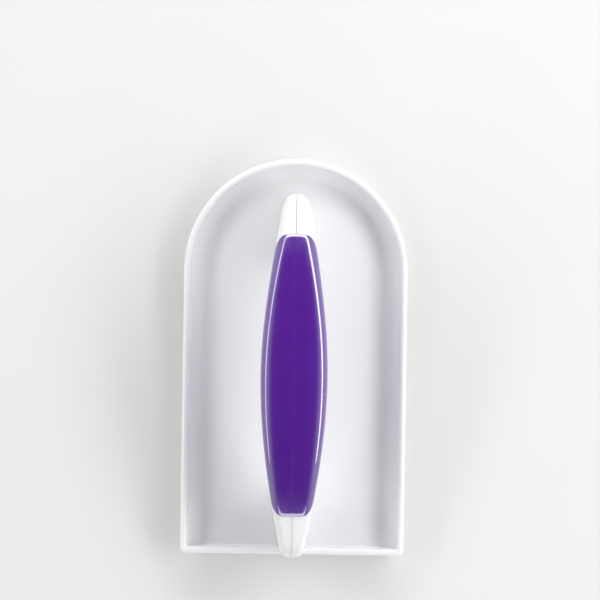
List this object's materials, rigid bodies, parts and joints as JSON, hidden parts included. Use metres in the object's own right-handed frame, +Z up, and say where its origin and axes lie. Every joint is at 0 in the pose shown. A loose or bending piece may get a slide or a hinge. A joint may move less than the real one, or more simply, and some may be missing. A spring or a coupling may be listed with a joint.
{
  "type": "icing smoother",
  "caption": "Flat pressing plate with a turned-up edge, arched at one end and square at the other, with a hollow bow handle and a soft grip.",
  "frame": {"origin": "middle of the flat underside, on the surface that the plate rests on", "axes": "+X across the plate, +Y along it towards the arched end, +Z up through the handle"},
  "size_m": [0.0826, 0.146, 0.045],
  "materials": {
    "white_plastic": "smooth gloss white, injection moulded",
    "purple_grip": "smooth, glossy soft plastic in deep purple"
  },
  "bodies": {
    "root": {"pressing_plate": "white_plastic", "handle_half_left": "white_plastic", "handle_half_right": "white_plastic", "grip_sleeve": "purple_grip"}
  },
  "joints": []
}
